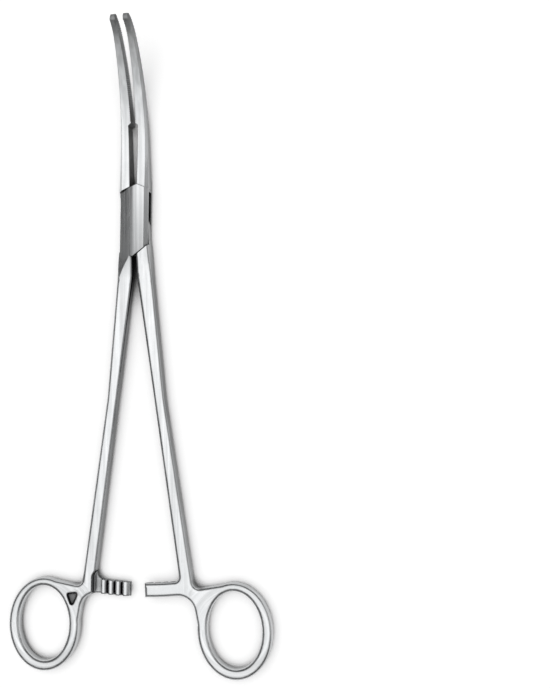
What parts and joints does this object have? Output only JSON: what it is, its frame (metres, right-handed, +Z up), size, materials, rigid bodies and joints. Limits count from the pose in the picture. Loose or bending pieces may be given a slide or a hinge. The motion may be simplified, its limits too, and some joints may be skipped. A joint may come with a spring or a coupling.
{
  "type": "dissecting forceps",
  "caption": "Long ring-handled dissecting forceps with a box lock, a ratchet, and serrated jaws that curve out of the opening plane.",
  "frame": {"origin": "on the lock's underside, at the axis of its pivot, where the forceps rests", "axes": "+Y runs from the finger rings to the jaw tips, +X is the side of the right jaw and the right shank, and +Z points up, the way the jaws curve"},
  "size_m": [0.0934, 0.222, 0.0189],
  "materials": {
    "steel": "polished stainless steel with a fine satin grain along the length"
  },
  "bodies": {
    "box_half": {"box_half": "steel", "pivot_pin": "steel"},
    "through_half": {"through_half": "steel"}
  },
  "joints": [
    {"name": "opening", "type": "hinge", "parent": "box_half", "child": "through_half", "pos_m": [0, 0, 0.0031], "axis": [0, 0, 1], "range_deg": [-2.4, 57.6]}
  ]
}
